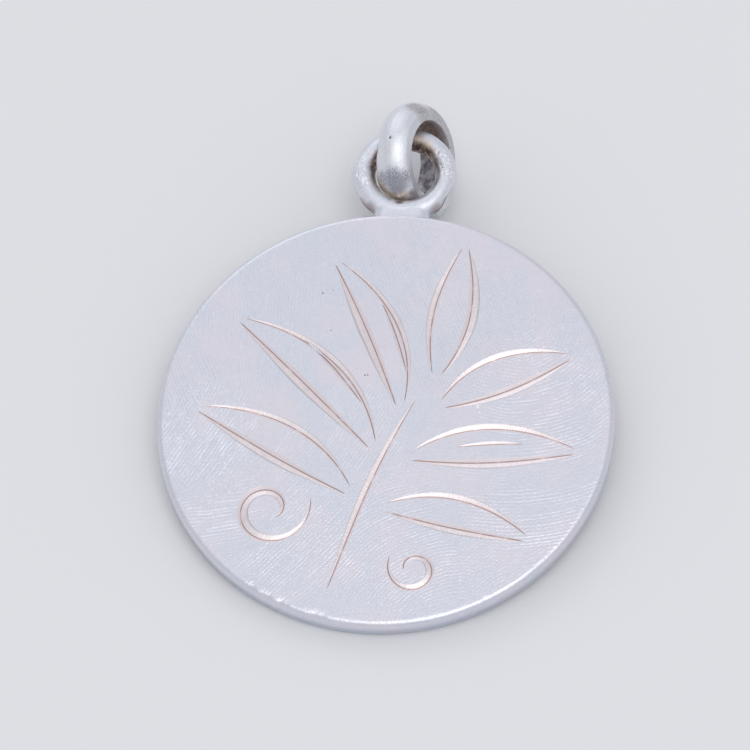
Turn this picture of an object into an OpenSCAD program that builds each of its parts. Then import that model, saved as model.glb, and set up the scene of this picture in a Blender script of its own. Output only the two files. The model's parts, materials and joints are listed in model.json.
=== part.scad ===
// Engraved disc pendant in silver, lying on a flat surface.
// The disc is turned about Z in its own frame, with its back at z = 0 and its eye towards +Y.
// At the end it is tilted as it comes to rest: its rim touches the surface on the side away
// from the eye, and the jump ring, which stands in the eye, carries the other side.

/* [Disc] */
// Diameter of the disc
disc_d = 20; // [16:0.5:30]
// Thickness of the disc
disc_t = 1; // [0.8:0.05:1.6]
// Radius of the rounded edges of the disc
disc_round = 0.28; // [0.1:0.02:0.38]

/* [Eye and neck] */
// Diameter of the hole in the eye
eye_hole_d = 2.66; // [2.5:0.02:3.4]
// Diameter of the eye's round wire
eye_wire_d = 1; // [0.8:0.01:1.1]
// Depth to which the eye's wire sinks into the rim of the disc
eye_seat = 0.18; // [0.05:0.01:0.3]
// Width of the solder neck between the disc and the eye
neck_w = 2.4; // [1.6:0.1:3]

/* [Jump ring] */
// Diameter of the hole in the ring
ring_hole_d = 3.4; // [3.2:0.02:4]
// Width of the ring's band
ring_w = 1.7; // [1:0.02:1.8]
// Thickness of the band at its crown
ring_crown_t = 0.87; // [0.6:0.01:1.1]
// Thickness of the band at its two edges
ring_edge_t = 0.38; // [0.25:0.01:0.6]
// Radius of the worn corners of the band
ring_round = 0.14; // [0.04:0.01:0.14]
// Angle by which the ring leans over sideways
ring_lean = 25; // [14:0.5:30]
// Angle by which the ring is turned about the upright
ring_turn = -9.5; // [-12:0.5:5]
// Clearance between the ring and the eye where they come closest
link_gap = 0.06; // [0.04:0.01:0.12]

/* [Engraving] */
// Width of the widest cut
cut_w = 0.6; // [0.4:0.02:1]
// Depth of a cut as a share of its width
cut_depth = 0.25; // [0.15:0.01:0.3]
// Plain metal left between the ornament and the rim
cut_margin = 1.2; // [0.8:0.1:4]
// Angle by which the ornament is turned on the disc
cut_turn = 0; // [-180:1:180]

/* [Hidden] */
$fn = 96;
silver = "#c9c8cf";
bright_silver = "#d6d4d6";

disc_r = disc_d / 2;
wire_r = eye_wire_d / 2;
// The eye is a full round, level with the middle of the disc
eye_r = eye_hole_d / 2 + wire_r;
eye_y = disc_r - eye_seat + wire_r + eye_r;
eye_z = disc_t / 2;
ring_r = ring_hole_d / 2;
ring_outer_r = ring_r + ring_crown_t;
ring_axis = [cos(ring_turn) * cos(ring_lean), sin(ring_turn) * cos(ring_lean), sin(ring_lean)];

// Outlines of the two turned pieces, as [distance from the axis, height along the axis]
arc_steps = 6;
function corner(cx, cy, r, from, to) =
    [for (i = [0:arc_steps])
        let (a = from + (to - from) * i / arc_steps) [cx + r * cos(a), cy + r * sin(a)]];
disc_outline = concat(
    [[0, 0]],
    corner(disc_r - disc_round, disc_round, disc_round, -90, 0),
    corner(disc_r - disc_round, disc_t - disc_round, disc_round, 0, 90),
    [[0, disc_t]]);
// The crown is an arc through both edges of the band
crown_rise = ring_crown_t - ring_edge_t;
crown_r = (pow(ring_w / 2, 2) + pow(crown_rise, 2)) / (2 * crown_rise);
crown_half = asin((ring_w / 2 - ring_round) / crown_r);
ring_outline = concat(
    corner(ring_r + ring_round, ring_round - ring_w / 2, ring_round, 180, 270),
    corner(ring_outer_r - crown_r, 0, crown_r, -crown_half, crown_half),
    corner(ring_r + ring_round, ring_w / 2 - ring_round, ring_round, 90, 180));
wire_steps = 48;
eye_outline = [for (i = [0:wire_steps - 1])
    let (a = 360 * i / wire_steps) [eye_r + wire_r * cos(a), wire_r * sin(a)]];

// Place of the ring in the disc's frame. Its top hangs over the far side of the eye's wire. Then
// it slides towards the neck until the clearance is left between it and the wire, all round.
ring_drop = ring_r * cos(ring_lean) - ring_w / 2 * sin(ring_lean) - wire_r - link_gap;
function ring_place(slide) =
    [ring_drop * tan(ring_lean) + link_gap, eye_y - eye_r + slide, eye_z - ring_drop];
eye_line = [for (i = [0:wire_steps - 1])
    let (a = 360 * i / wire_steps) [eye_r * cos(a), eye_y + eye_r * sin(a), eye_z]];
// A point as [distance from the ring's axis, height along it]
function about_ring(p, place) =
    let (away = p - place, along = away * ring_axis) [norm(away - along * ring_axis), along];
function off_side(p, a, b) =
    let (side = b - a, share = max(0, min(1, (p - a) * side / (side * side)))) norm(p - a - share * side);
function off_outline(p, outline) =
    let (n = len(outline)) min([for (i = [0:n - 1]) off_side(p, outline[i], outline[(i + 1) % n])]);
function link_room(place) =
    min([for (p = eye_line) off_outline(about_ring(p, place), ring_outline)]) - wire_r;
halvings = 24;
function least_slide(low, high, steps) =
    let (mid = (low + high) / 2)
    steps == 0 ? high
        : link_room(ring_place(mid)) < link_gap ? least_slide(mid, high, steps - 1)
        : least_slide(low, mid, steps - 1);
ring_at = ring_place(least_slide(ring_r, ring_outer_r + eye_wire_d, halvings));

// How far a turned piece reaches along a direction
function reach(outline, centre, axis, dir) =
    let (along = axis * dir, across = sqrt(max(0, 1 - along * along)))
    centre * dir + max([for (p = outline) p[0] * across + p[1] * along]);
z_axis = [0, 0, 1];
function reach_all(dir) = max(
    reach(disc_outline, [0, 0, 0], z_axis, dir),
    reach(eye_outline, [0, eye_y, eye_z], z_axis, dir),
    reach(ring_outline, ring_at, ring_axis, dir));

// Rest: the line between the two points of contact passes under the centre of mass
function turned_volume(outline) =
    let (n = len(outline), parts = [for (i = [0:n - 1])
        let (a = outline[i], b = outline[(i + 1) % n])
        PI / 3 * (a[0] * a[0] + a[0] * b[0] + b[0] * b[0]) * (b[1] - a[1])])
    abs(parts * [for (p = parts) 1]);
disc_vol = turned_volume(disc_outline);
eye_vol = turned_volume(eye_outline);
ring_vol = turned_volume(ring_outline);
balance = (eye_vol * [0, eye_y] + ring_vol * [ring_at[0], ring_at[1]]) / (disc_vol + eye_vol + ring_vol);
ring_foot = [ring_at[0], ring_at[1]]
    + (ring_outer_r - crown_r) * sin(ring_lean) * [cos(ring_turn), sin(ring_turn)];
rest_turn = atan2(ring_foot[0] - balance[0], ring_foot[1] - balance[1]);
// The upright of the surface, seen in the disc's frame at a tilt
function upright(tilt) = [sin(tilt) * sin(rest_turn), sin(tilt) * cos(rest_turn), cos(tilt)];
function ring_is_lower(tilt) =
    reach(ring_outline, ring_at, ring_axis, -upright(tilt))
    > reach(disc_outline, [0, 0, 0], z_axis, -upright(tilt));
// The tilt at which the rim and the ring touch together, found by halving the span that holds it
function settle(low, high, steps) =
    let (mid = (low + high) / 2)
    steps == 0 ? mid : ring_is_lower(mid) ? settle(mid, high, steps - 1) : settle(low, mid, steps - 1);
most_tilt = 40;
rest_tilt = settle(0, most_tilt, halvings);
// The tilt turns the disc about an axis that lies in its own plane
tilt_axis = [cos(rest_turn), -sin(rest_turn), 0];

// The origin is under the middle of the whole pendant.
// A turn back gives the world's directions in the disc's frame.
function turned_back(v) =
    v * cos(rest_tilt) - cross(tilt_axis, v) * sin(rest_tilt)
    + tilt_axis * (tilt_axis * v) * (1 - cos(rest_tilt));
world_x = turned_back([1, 0, 0]);
world_y = turned_back([0, 1, 0]);
world_z = turned_back([0, 0, 1]);
shift = [
    (reach_all(-world_x) - reach_all(world_x)) / 2,
    (reach_all(-world_y) - reach_all(world_y)) / 2,
    reach_all(-world_z)];
module at_rest() {
    translate(shift) rotate(a = rest_tilt, v = tilt_axis) children();
}

// The ornament is a leaf spray. Places are shares of its radius, and angles are in degrees.
ornament_r = disc_r - cut_margin;
// Each leaf is two cuts, one along each edge
// [base x, base y, tip x, tip y, bend of left edge, bend of right edge, left width, right width]
leaves = [
    [0.24, 0.23, 0.34, 0.95, 20, 24, 0.7, 0.95],
    [0.28, 0.07, 0.9, 0.36, 38, 10, 0.65, 0.9],
    [0.07, 0.06, -0.3, 0.84, -4, 34, 1, 0.6],
    [0.14, -0.22, 0.95, -0.16, 34, 6, 0.7, 0.9],
    [-0.05, -0.17, -0.76, 0.5, -2, 36, 1, 0.65],
    [0.03, -0.5, 0.74, -0.64, 34, 2, 0.65, 0.85],
    [-0.15, -0.42, -0.93, 0.0, 2, 34, 0.95, 0.6]];
// The stem, then three veins
// [start x, start y, direction there, end x, end y, direction there, pull, width]
stems = [
    [-0.22, -0.96, 74, 0.15, 0.1, 64, 0.4, 0.7],
    [0.09, 0.24, 106, -0.06, 0.62, 120, 0.33, 0.38],
    [-0.12, 0.06, 126, -0.44, 0.41, 142, 0.33, 0.38],
    [0.36, -0.16, 10, 0.7, -0.13, -2, 0.33, 0.38]];
// Curls. [middle x, middle y, outer radius, inner radius, start angle, sweep, width]
curls = [
    [-0.54, -0.53, 0.22, 0.06, 20, -430, 0.9],
    [0.2, -0.82, 0.14, 0.05, 150, 400, 0.7]];
// Half the metal left between the two cuts of a leaf at its base, and the share of it at the tip
leaf_gap = 0.02;
tip_gap_share = 0.7;
// How far the ends of an edge pull the curve, and the share of its bend with which it comes to the tip
leaf_pull = 0.38;
tip_bend_share = 0.9;

function unit(a) = [cos(a), sin(a)];
// A cubic curve from a to d, which leaves along one direction and arrives along another
function cubic(a, leave, d, arrive, pull, t) =
    let (reach_in = pull * norm(d - a), u = 1 - t)
    let (b = a + reach_in * unit(leave), c = d - reach_in * unit(arrive))
    u * u * u * a + 3 * u * u * t * b + 3 * u * t * t * c + t * t * t * d;
stroke_steps = 12;
turn_step = 20;
function leaf_line(f, side) =
    let (base = [f[0], f[1]], tip = [f[2], f[3]], along = atan2(tip[1] - base[1], tip[0] - base[0]))
    let (bend = side > 0 ? f[4] : f[5], off = side * leaf_gap * unit(along + 90))
    [for (i = [0:stroke_steps])
        cubic(base + off, along + side * bend,
            tip + tip_gap_share * off, along - tip_bend_share * side * bend, leaf_pull, i / stroke_steps)];
function stem_line(s) =
    [for (i = [0:stroke_steps]) cubic([s[0], s[1]], s[2], [s[3], s[4]], s[5], s[6], i / stroke_steps)];
// A curl closes in a little faster at its start
curl_power = 0.8;
function curl_line(c) =
    let (steps = ceil(abs(c[5]) / turn_step))
    [for (i = [0:steps])
        let (t = i / steps, r = c[2] + (c[3] - c[2]) * pow(t, curl_power))
        [c[0], c[1]] + r * unit(c[4] + c[5] * t)];

// A cut has a wide shallow wall on one side and a steep wall on the other.
// The tool that makes it starts and ends just above the metal.
over = 0.03;
end_rise = 0.01;
wide_share = 0.7;
// A cut swells from nothing at its start and thins to nothing at its end
swell_power = 0.8;
function swell(t) = pow(sin(180 * t), swell_power);
function section(line, i, width, side) =
    let (n = len(line) - 1, ahead = line[min(n, i + 1)] - line[max(0, i - 1)], dir = ahead / norm(ahead))
    let (left = [-dir[1], dir[0]] * side, p = line[i] * ornament_r)
    let (high = cut_w * width * cut_depth * swell(i / n) + over - end_rise, spread = high / cut_depth)
    let (wide_edge = p + left * spread * wide_share, steep_edge = p - left * spread * (1 - wide_share))
    [[wide_edge[0], wide_edge[1], disc_t + over],
     [steep_edge[0], steep_edge[1], disc_t + over],
     [p[0], p[1], disc_t + over - high]];
module cut(line, width, side) {
    n = len(line) - 1;
    points = [for (i = [0:n]) each section(line, i, width, side)];
    walls = [for (i = [0:n - 1], k = [0:2])
        let (a = 3 * i + k, b = 3 * i + (k + 1) % 3)
        each [[a, b, b + 3], [a, b + 3, a + 3]]];
    faces = concat([[2, 1, 0]], walls, [[3 * n, 3 * n + 1, 3 * n + 2]]);
    polyhedron(points, side < 0 ? faces : [for (f = faces) [f[2], f[1], f[0]]]);
}
module engraving() {
    rotate([0, 0, cut_turn]) {
        for (f = leaves) {
            cut(leaf_line(f, 1), f[6], 1);
            cut(leaf_line(f, -1), f[7], -1);
        }
        for (s = stems) cut(stem_line(s), s[7], 1);
        for (c = curls) cut(curl_line(c), c[6], sign(c[5]));
    }
}

// The neck is a short flat bar with half-round sides. It is thinner than the disc by a small step
// and reaches from inside the rim to the middle of the eye's wire.
neck_step = 0.01;
neck_half_t = disc_t / 2 - neck_step;
neck_in = 0.6;
neck_out = wire_r - eye_seat;
module neck() {
    translate([0, disc_r - neck_in, disc_t / 2]) rotate([-90, 0, 0]) {
        long = neck_in + neck_out;
        side = neck_w / 2 - neck_half_t;
        for (x = [-side, side]) translate([x, 0, 0]) cylinder(r = neck_half_t, h = long);
        translate([-side, -neck_half_t, 0]) cube([2 * side, 2 * neck_half_t, long]);
    }
}
module eye() {
    translate([0, eye_y, eye_z]) rotate_extrude() translate([eye_r, 0]) circle(r = wire_r);
}

module disc() {
    color(silver) at_rest() difference() {
        union() {
            rotate_extrude() polygon(disc_outline);
            neck();
            eye();
        }
        engraving();
    }
}
module jump_ring() {
    color(bright_silver) at_rest()
        translate(ring_at) rotate([0, 90 - ring_lean, ring_turn]) rotate_extrude() polygon(ring_outline);
}

disc();
jump_ring();
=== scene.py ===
# %% [markdown]
# # An engraved disc pendant in silver
#
# The pendant is a flat round of silver, 20 mm across, with a spray of leaves cut into its face.
# A short neck and an eye of round wire are soldered to its rim, and a domed jump ring stands in
# the eye. It lies on a flat surface: the rim touches at one side, and the ring props up the other.
#
# This lesson builds it in the order in which a maker would. First comes the bench, which means
# units, the lie of the pendant and the camera. Then come the disc, the eye, the cuts and the
# ring, each as a mesh, and last the two finishes, the floor and the lights.

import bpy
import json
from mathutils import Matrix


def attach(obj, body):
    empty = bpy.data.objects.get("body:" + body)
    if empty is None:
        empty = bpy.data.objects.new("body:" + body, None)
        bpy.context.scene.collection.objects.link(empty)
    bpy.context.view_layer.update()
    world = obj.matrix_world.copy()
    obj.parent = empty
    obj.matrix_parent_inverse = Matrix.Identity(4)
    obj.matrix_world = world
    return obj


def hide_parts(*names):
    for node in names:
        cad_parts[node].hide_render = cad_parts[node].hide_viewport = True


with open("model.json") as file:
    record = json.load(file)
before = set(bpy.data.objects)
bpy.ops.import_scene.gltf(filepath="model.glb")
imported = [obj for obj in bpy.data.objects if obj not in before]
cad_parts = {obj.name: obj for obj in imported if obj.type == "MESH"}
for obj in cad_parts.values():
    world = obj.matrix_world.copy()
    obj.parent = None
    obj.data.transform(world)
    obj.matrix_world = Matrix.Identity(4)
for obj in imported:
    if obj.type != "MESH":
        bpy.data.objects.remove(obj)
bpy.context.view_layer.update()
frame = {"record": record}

# %% [markdown]
# ## The lie of the pendant
#
# A tilted disc is awkward to model, so every piece is first made flat, in millimetres, in the
# disc's own frame: the back at z = 0, the middle at x = y = 0 and the eye towards +Y. One matrix
# then lays all of them down. It comes from the flat back, whose place and direction the model
# states, and it is the shortest turn that takes the upright onto the disc's own upright.

# %% Find how the disc lies
import json
import math

import bmesh
import bpy
from mathutils import Matrix, Vector, noise

MM = 0.001
mounts = {mount["name"]: mount for mount in frame["record"]["mounts"]}
disc_up = -Vector(mounts["back_face"]["axis"]).normalized()
tilt = Vector((0, 0, 1)).rotation_difference(disc_up).to_matrix().to_4x4()
lay_down = Matrix.Translation(mounts["back_face"]["pos_m"]) @ tilt @ Matrix.Scale(MM, 4)
pick_up = lay_down.inverted()
print("the disc lies at %.1f degrees" % math.degrees(disc_up.angle(Vector((0, 0, 1)))))

# %% [markdown]
# ## The camera
#
# The camera looks down at the face from a little to the right, with the picture turned slightly.
# A long lens from 20 cm keeps the round of the disc an even ellipse, as a close-up lens does.
# The numbers are angles about the disc, so the matrix above takes them into the scene.

# %% Set up the camera
FULL_PICTURE = 36.0
LENS = 219.44
camera_far = 200.0
camera_turn, camera_rise, camera_roll = (math.radians(a) for a in (11.848, 63.605, -8.552))
picture_middle = (-0.503, 2.192)


def camera_axes(turn, rise, roll):
    """The picture's right, its up and the way back to the camera, in the disc's frame."""
    back = Vector((math.sin(turn) * math.cos(rise), -math.cos(turn) * math.cos(rise), math.sin(rise)))
    level = Vector((math.cos(turn), math.sin(turn), 0))
    steep = back.cross(level)
    right = math.cos(roll) * level + math.sin(roll) * steep
    return right, back.cross(right), back


right, upward, back = camera_axes(camera_turn, camera_rise, camera_roll)
spot_seen = picture_middle[0] * right + picture_middle[1] * upward
stand = Matrix((right, upward, back)).transposed().to_4x4()
camera = bpy.data.objects.new("camera", bpy.data.cameras.new("camera"))
camera.data.sensor_width = FULL_PICTURE
camera.data.lens = LENS
camera.data.clip_start = 0.01
camera.matrix_world = Matrix.Translation(lay_down @ (camera_far * back + spot_seen)) @ tilt @ stand
bpy.context.scene.collection.objects.link(camera)
bpy.context.scene.camera = camera
print("camera over the floor, mm:", round(camera.matrix_world.translation.z / MM, 1))

# %% [markdown]
# ## A short way to write nodes
#
# Materials and Geometry Nodes are both trees of nodes. Linking them by hand takes many lines, so
# one small class wraps an output of a node. Sums and products on it add Math nodes, and node()
# adds any other kind: its settings come first, and then the values or the wires of its inputs.

# %% A wire between nodes


def feed(socket, value):
    """A wire or a plain value into an input. A colour gets its fourth number here."""
    if isinstance(value, Wire):
        value.tree.links.new(value.socket, socket)
    else:
        socket.default_value = (*value, 1.0) if socket.type == "RGBA" else value


class Wire:
    """One output of a node in a tree."""

    def __init__(self, tree, socket=None):
        self.tree, self.socket = tree, socket

    def node(self, kind, settings=None, inputs=None, out=0):
        made = self.tree.nodes.new(kind)
        for name, value in (settings or {}).items():
            setattr(made, name, value)
        for name, value in (inputs or {}).items():
            feed(made.inputs[name], value)
        return Wire(self.tree, made.outputs[out])

    def math(self, operation, *values):
        return self.node("ShaderNodeMath", {"operation": operation}, dict(enumerate(values)))

    def vector(self, operation, *values, out=0):
        return self.node("ShaderNodeVectorMath", {"operation": operation}, dict(enumerate(values)), out)

    def __add__(self, other):
        return self.math("ADD", self, other)

    def __sub__(self, other):
        return self.math("SUBTRACT", self, other)

    def __rsub__(self, other):
        return self.math("SUBTRACT", other, self)

    def __mul__(self, other):
        return self.math("MULTIPLY", self, other)

    def __truediv__(self, other):
        return self.math("DIVIDE", self, other)

    def __rtruediv__(self, other):
        return self.math("DIVIDE", other, self)

    def __pow__(self, other):
        return self.math("POWER", self, other)

    __radd__, __rmul__ = __add__, __mul__

    def rise(self, low, high):
        """A smooth step from 0 at low to 1 at high."""
        settings = {"interpolation_type": "SMOOTHSTEP"}
        inputs = {"Value": self, "From Min": low, "From Max": high}
        return self.node("ShaderNodeMapRange", settings, inputs)


def speckle(place, size, detail=2.0, seed=0.0, out=0):
    """Even noise with blots of one size, from 0 to 1."""
    inputs = {"Vector": place, "W": seed, "Scale": 1 / size, "Detail": detail}
    return place.node("ShaderNodeTexNoise", {"noise_dimensions": "4D"}, inputs, out)


# %% [markdown]
# ## A short way to run Geometry Nodes
#
# Each tree has named inputs for its sizes. A modifier finds an input by its identifier, so the
# helper keeps a table from names to identifiers and sets the values before anything is worked
# out. The result is turned into a plain mesh, and the modifier goes with its old object.

# %% Build and run a tree of Geometry Nodes


def start_tree(name, sizes, objects=()):
    """A tree with an input for each size and each helper object, and wires from all of them."""
    tree = bpy.data.node_groups.new(name, "GeometryNodeTree")
    tree.interface.new_socket("Result", in_out="OUTPUT", socket_type="NodeSocketGeometry")
    tree.interface.new_socket("Path", in_out="INPUT", socket_type="NodeSocketGeometry")
    for title, value in sizes.items():
        item = tree.interface.new_socket(title, in_out="INPUT", socket_type="NodeSocketFloat")
        item.default_value = value
    for title in objects:
        tree.interface.new_socket(title, in_out="INPUT", socket_type="NodeSocketObject")
    tree.interface.new_socket("Finish", in_out="INPUT", socket_type="NodeSocketMaterial")
    entry = tree.nodes.new("NodeGroupInput")
    return tree, {socket.name: Wire(tree, socket) for socket in entry.outputs if socket.name}


def end_tree(tree, result, finish):
    """Instances made real, the finish put on, and the result led out of the tree."""
    real = result.node("GeometryNodeRealizeInstances", {}, {"Geometry": result})
    done = real.node("GeometryNodeSetMaterial", {}, {"Geometry": real, "Material": finish})
    tree.links.new(done.socket, tree.nodes.new("NodeGroupOutput").inputs[0])


def run_tree(path, tree, values, name):
    """The tree's result on the object path, as a plain mesh object of its own."""
    modifier = path.modifiers.new(tree.name, "NODES")
    modifier.node_group = tree
    keys = {item.name: item.identifier for item in tree.interface.items_tree if item.in_out == "INPUT"}
    for title, value in values.items():
        modifier[keys[title]] = value
    made = path.evaluated_get(bpy.context.evaluated_depsgraph_get())
    piece = add_piece(name, bpy.data.meshes.new_from_object(made))
    bpy.data.objects.remove(path)
    return piece


def add_piece(name, data):
    """An object at the origin, unturned and unscaled."""
    piece = bpy.data.objects.new(name, data)
    bpy.context.scene.collection.objects.link(piece)
    return piece


def line_piece(name, lines, closed=False):
    """A curve object of straight pieces. Each line is a list of points and one share of width."""
    data = bpy.data.curves.new(name, "CURVE")
    data.dimensions = "3D"
    for points, share in lines:
        spline = data.splines.new("POLY")
        spline.points.add(len(points) - 1)
        for knot, point in zip(spline.points, points):
            knot.co = (*point, 1.0)
            knot.radius = share
        spline.use_cyclic_u = closed
    return add_piece(name, data)


# %% [markdown]
# ## The disc blank
#
# The maker saws the disc from sheet, files its rim round and rubs the edges down. It is a turned
# form, so its outline is spun about the upright. The rim isn't perfect: the lower left has a few
# nicks, and the whole edge wanders by a hundredth or two of a millimetre. Those are moves of the
# rim's points, because a nick shows in the outline, where a bump in the material would not. Two narrow
# flat bands just inside each rounded edge keep the shading of the large flats quite even.

# %% Turn the disc blank
disc_r = 10.0
disc_t = 1.0
disc_round = 0.28
spokes = 720
rim_steps = 10
flat_margin = 0.1
wander_waves, wander_depth = 7, 0.012
# Columns: angle round the rim in degrees, half its length, its depth and how far down it reaches
nicks = [
    (-121.4, 1.2, 0.06, 0.5), (-118.2, 0.8, 0.035, 0.42), (-116.5, 1.0, 0.07, 0.5),
    (-112.9, 0.7, 0.08, 0.5), (-111.4, 0.6, 0.04, 0.4), (-103.6, 1.8, 0.06, 0.55),
    (-101.6, 0.7, 0.04, 0.35), (-60.0, 0.7, 0.03, 0.3), (14.0, 0.6, 0.03, 0.25),
    (152.0, 0.7, 0.025, 0.3)]


def arc(middle_x, middle_y, radius, start, end, steps):
    """Points on a round, with angles in degrees."""
    turns = [math.radians(start + (end - start) * i / steps) for i in range(steps + 1)]
    return [(middle_x + radius * math.cos(a), middle_y + radius * math.sin(a)) for a in turns]


def spin(outline, around, bend):
    """A closed turned form. The outline runs from the pole below to the pole above."""
    form = bmesh.new()
    rings = []
    for r, z in outline[1:-1]:
        angles = [2 * math.pi * k / around for k in range(around)]
        bent = [(a, *bend(a, r, z)) for a in angles]
        rings.append([form.verts.new((x * math.cos(a), x * math.sin(a), y)) for a, x, y in bent])
    low, high = (form.verts.new((0, 0, outline[end][1])) for end in (0, -1))
    for k in range(around):
        n = (k + 1) % around
        form.faces.new((low, rings[0][n], rings[0][k]))
        form.faces.new((high, rings[-1][k], rings[-1][n]))
        for inner, outer in zip(rings, rings[1:]):
            form.faces.new((inner[k], inner[n], outer[n], outer[k]))
    data = bpy.data.meshes.new("turned")
    form.to_mesh(data)
    form.free()
    return data


def wear_rim(angle, r, z):
    """The rim's outline at one angle: a slight wander, and the nicks of the upper edge."""
    edge = max(0.0, 1 - (disc_r - r) / (disc_round + flat_margin))
    around = Vector((math.cos(angle), math.sin(angle), z)) * wander_waves
    r += edge * wander_depth * (noise.noise(around) - 0.8)
    for place, half, depth, down in nicks:
        off = (math.degrees(angle) - place + 180) % 360 - 180
        dent = math.exp(-((off / half) ** 2)) * max(0.0, 1 - (disc_t - z) / down) * edge ** 0.5
        r -= depth * dent
        z -= 0.5 * depth * dent
    return r, z


flat_r = disc_r - disc_round
disc_outline = (
    [(0, 0), (flat_r - 2 * flat_margin, 0), (flat_r - flat_margin, 0)]
    + arc(flat_r, disc_round, disc_round, -90, 0, rim_steps)
    + arc(flat_r, disc_t - disc_round, disc_round, 0, 90, rim_steps)
    + [(flat_r - flat_margin, disc_t), (flat_r - 2 * flat_margin, disc_t), (0, disc_t)])
blank = add_piece("blank", spin(disc_outline, spokes, wear_rim))
print("disc blank:", len(blank.data.polygons), "faces")

# %% [markdown]
# ## The eye and its neck
#
# The eye is round wire bent into a ring and soldered to the rim over a small bar, the neck.
# Solder leaves soft hollows where the pieces meet. A voxel remesh joins the overlapping wire and
# bar into one skin, and a few rounds of smoothing turn the sharp corners between them into
# fillets. A little noise then takes away the look of a perfect machine-made round. Two short
# tables add what wear did: fields of fine pecks, and pushes in and out, of which the deepest is
# the notch that the jump ring rubbed into the wire.

# %% Join the eye and the neck
wire_r = 0.51
eye_r = 1.835
eye_y = 12.155
neck_half_w = 1.2
neck_half_t = 0.49
neck_from, neck_to = 9.4, 10.36
voxel = 0.042
melt_rounds = 9


def tube(loops):
    """A closed band through rings of points. The last ring joins the first."""
    form = bmesh.new()
    rows = [[form.verts.new(point) for point in loop] for loop in loops]
    for row, after in zip(rows, rows[1:] + rows[:1]):
        for k in range(len(row)):
            n = (k + 1) % len(row)
            form.faces.new((row[k], after[k], after[n], row[n]))
    return form


def eye_rings(around=120, across=40):
    for i in range(around):
        turn = 2 * math.pi * i / around
        out = Vector((math.cos(turn), math.sin(turn), 0))
        middle = Vector((0, eye_y, disc_t / 2)) + eye_r * out
        angles = [2 * math.pi * k / across for k in range(across)]
        yield [middle + wire_r * (math.cos(a) * out + Vector((0, 0, math.sin(a)))) for a in angles]


def add_neck(form):
    """The bar: a flat slip of metal with half-round sides, closed at both ends."""
    flat = neck_half_w - neck_half_t
    ends = arc(flat, 0, neck_half_t, -90, 90, 12) + arc(-flat, 0, neck_half_t, 90, 270, 12)
    rows = [[form.verts.new((x, y, disc_t / 2 + z)) for x, z in ends] for y in (neck_from, neck_to)]
    for k in range(len(ends)):
        n = (k + 1) % len(ends)
        form.faces.new((rows[0][k], rows[1][k], rows[1][n], rows[0][n]))
    form.faces.new(rows[0])
    form.faces.new(rows[1][::-1])


def roughen(data, size, depth, seed):
    """Wear a mesh down along its normals by smooth noise."""
    start = Vector((seed, 2 * seed, 3 * seed))
    moves = [v.normal * depth * (noise.noise(v.co / size + start) - 0.6) for v in data.vertices]
    for v, move in zip(data.vertices, moves):
        v.co += move


def press(data, table):
    """Move the points near each place along their normals, outwards for a positive move. The
    steps of a row are all worked out before the first point moves and turns its neighbours."""
    for place, reach, move in table:
        near = [(v, math.exp(-((v.co - Vector(place)).length / reach) ** 2)) for v in data.vertices]
        steps = [(v, v.normal * move * share) for v, share in near if share > 0.02]
        for v, step in steps:
            v.co += step


def peck(data, fields, size, depth):
    """Small round dents side by side in the fields of a table."""
    for v in data.vertices:
        share = max(math.exp(-((v.co - Vector(place)).length / reach) ** 4) for place, reach in fields)
        if share > 0.05:
            away = noise.voronoi(v.co / size)[0][0]
            v.co -= v.normal * depth * share * max(0.0, 1 - 2.2 * away)


# Columns: place, reach
worn_fields = [
    ((-2.05, 12.85, 0.95), 0.3), ((-2.1, 12.4, 0.9), 0.3), ((-2.0, 11.9, 0.95), 0.32),
    ((-1.75, 11.45, 1.0), 0.28), ((1.62, 13.0, 1.0), 0.34), ((1.8, 12.55, 1.0), 0.34),
    ((1.95, 12.1, 0.95), 0.3)]
# Columns: place, reach, move
eye_dents = [
    ((-0.14, 10.66, 0.88), 0.15, -0.13), ((-0.38, 10.66, 0.9), 0.1, 0.03), ((0.1, 10.66, 0.9), 0.1, 0.03),
    ((1.75, 13.25, 0.85), 0.09, -0.04), ((2.05, 12.95, 0.8), 0.1, -0.04), ((-2.1, 13.1, 0.75), 0.1, -0.03),
    ((-1.28, 11.75, 0.55), 0.3, 0.02), ((-1.1, 11.4, 0.55), 0.3, 0.01),
    ((-2.32, 12.05, 0.58), 0.55, 0.1), ((2.22, 11.5, 0.4), 0.4, -0.11), ((2.03, 11.05, 0.4), 0.4, -0.12)]

form = tube(list(eye_rings()))
add_neck(form)
bmesh.ops.recalc_face_normals(form, faces=form.faces)
joined = bpy.data.meshes.new("joined")
form.to_mesh(joined)
form.free()
rough_eye = add_piece("rough_eye", joined)
remesh = rough_eye.modifiers.new("solder", "REMESH")
remesh.mode, remesh.voxel_size = "VOXEL", voxel
melt = rough_eye.modifiers.new("melt", "SMOOTH")
melt.factor, melt.iterations = 0.5, melt_rounds
soldered = rough_eye.evaluated_get(bpy.context.evaluated_depsgraph_get())
eye = add_piece("eye", bpy.data.meshes.new_from_object(soldered))
bpy.data.objects.remove(rough_eye)
roughen(eye.data, size=0.9, depth=0.02, seed=3)
roughen(eye.data, size=0.22, depth=0.004, seed=5)
peck(eye.data, worn_fields, size=0.2, depth=0.075)
press(eye.data, eye_dents)
print("eye and neck:", len(eye.data.polygons), "faces")

# %% [markdown]
# ## The strokes of the spray
#
# Each leaf is two strokes of the graver, one along each edge. A stem, three veins and two curls
# join them. All are cubic curves or spirals, so short tables hold them, as shares of the
# ornament's radius. The wide wall of a cut lies on the outer side of a leaf, so the stroke on
# the other edge runs the other way, which turns the tool round.

# %% Draw the strokes
ornament_r = 8.8
stroke_steps = 44
turn_step = 6.0
leaf_gap, tip_gap_share = 0.02, 0.7
leaf_pull, tip_bend_share = 0.38, 0.9
curl_power = 0.8
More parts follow.
